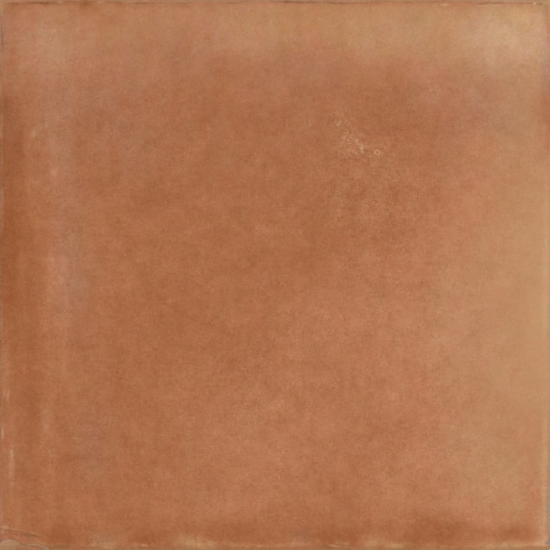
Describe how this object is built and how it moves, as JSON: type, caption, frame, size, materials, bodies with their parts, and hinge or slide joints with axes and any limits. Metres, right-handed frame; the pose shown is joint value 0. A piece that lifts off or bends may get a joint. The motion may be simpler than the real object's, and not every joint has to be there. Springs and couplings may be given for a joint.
{
  "type": "square floor tile",
  "caption": "Square unglazed terracotta floor tile with worn wavy edges, a flaked corner and a grooved back that keys into mortar.",
  "frame": {"origin": "middle of the back, on the plane of its lands, where the tile lies on a level floor", "axes": "+Z out of the face; +X and +Y along two sides, so that with the face seen from above and +Y up the flaked corner is at the lower left; the back's grooves run along Y"},
  "size_m": [0.3, 0.3, 0.015],
  "materials": {
    "terracotta": "matte"
  },
  "bodies": {
    "root": {"tile": "terracotta"}
  },
  "joints": []
}
